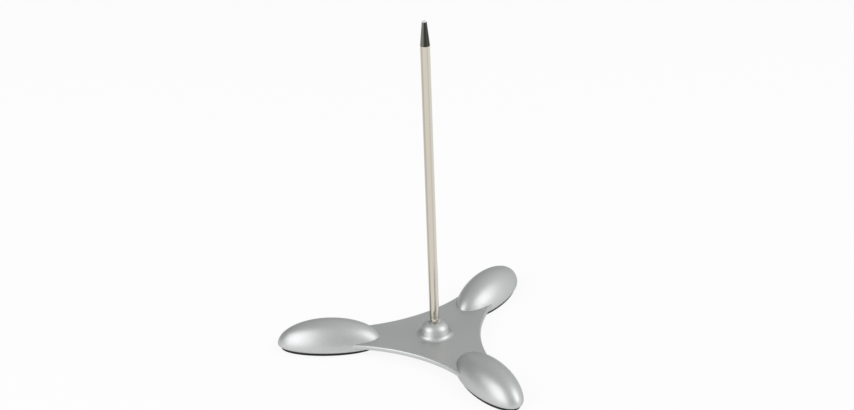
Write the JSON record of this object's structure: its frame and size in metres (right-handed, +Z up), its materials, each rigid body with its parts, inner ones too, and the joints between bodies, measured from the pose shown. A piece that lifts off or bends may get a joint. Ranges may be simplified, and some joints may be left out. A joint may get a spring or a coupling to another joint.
{
  "type": "bill spike",
  "caption": "Free-standing bill spike: a blunt plated steel spike screwed into a weighted silver base with egg-shaped feet on rubber pads.",
  "frame": {"origin": "the point of the table directly below the spike, on the spike's axis and level with the undersides of the pads", "axes": "+Z up along the spike, -X towards the tip of the left foot"},
  "size_m": [0.1078, 0.1224, 0.1532],
  "materials": {
    "silver_lacquer": "silver metallic lacquer on a moulded shell, satin",
    "weight_iron": "as cast",
    "pad_rubber": "matt",
    "insert_brass": "turned",
    "washer_steel": "stamped and plated",
    "nickel_plate": "bright nickel plate on drawn steel, ground darker on the tapered tip"
  },
  "bodies": {
    "base": {"base_shell": "silver_lacquer", "left_weight": "weight_iron", "front_weight": "weight_iron", "back_weight": "weight_iron", "left_pad": "pad_rubber", "front_pad": "pad_rubber", "back_pad": "pad_rubber", "threaded_insert": "insert_brass"},
    "washer": {"lock_washer": "washer_steel"},
    "spike": {"spike_rod": "nickel_plate"}
  },
  "joints": [
    {"name": "spike_lift", "type": "slide", "parent": "base", "child": "washer", "axis": [0, 0, 1], "range_m": [0, 0.005]},
    {"name": "spike_turn", "type": "hinge", "parent": "washer", "child": "spike", "pos_m": [0, 0, 0.0122], "axis": [0, 0, 1], "range_deg": [0, 3600]}
  ],
  "couplings": [
    {"joint": "spike_turn", "follows": "spike_lift", "rad_per_m": 12566}
  ]
}
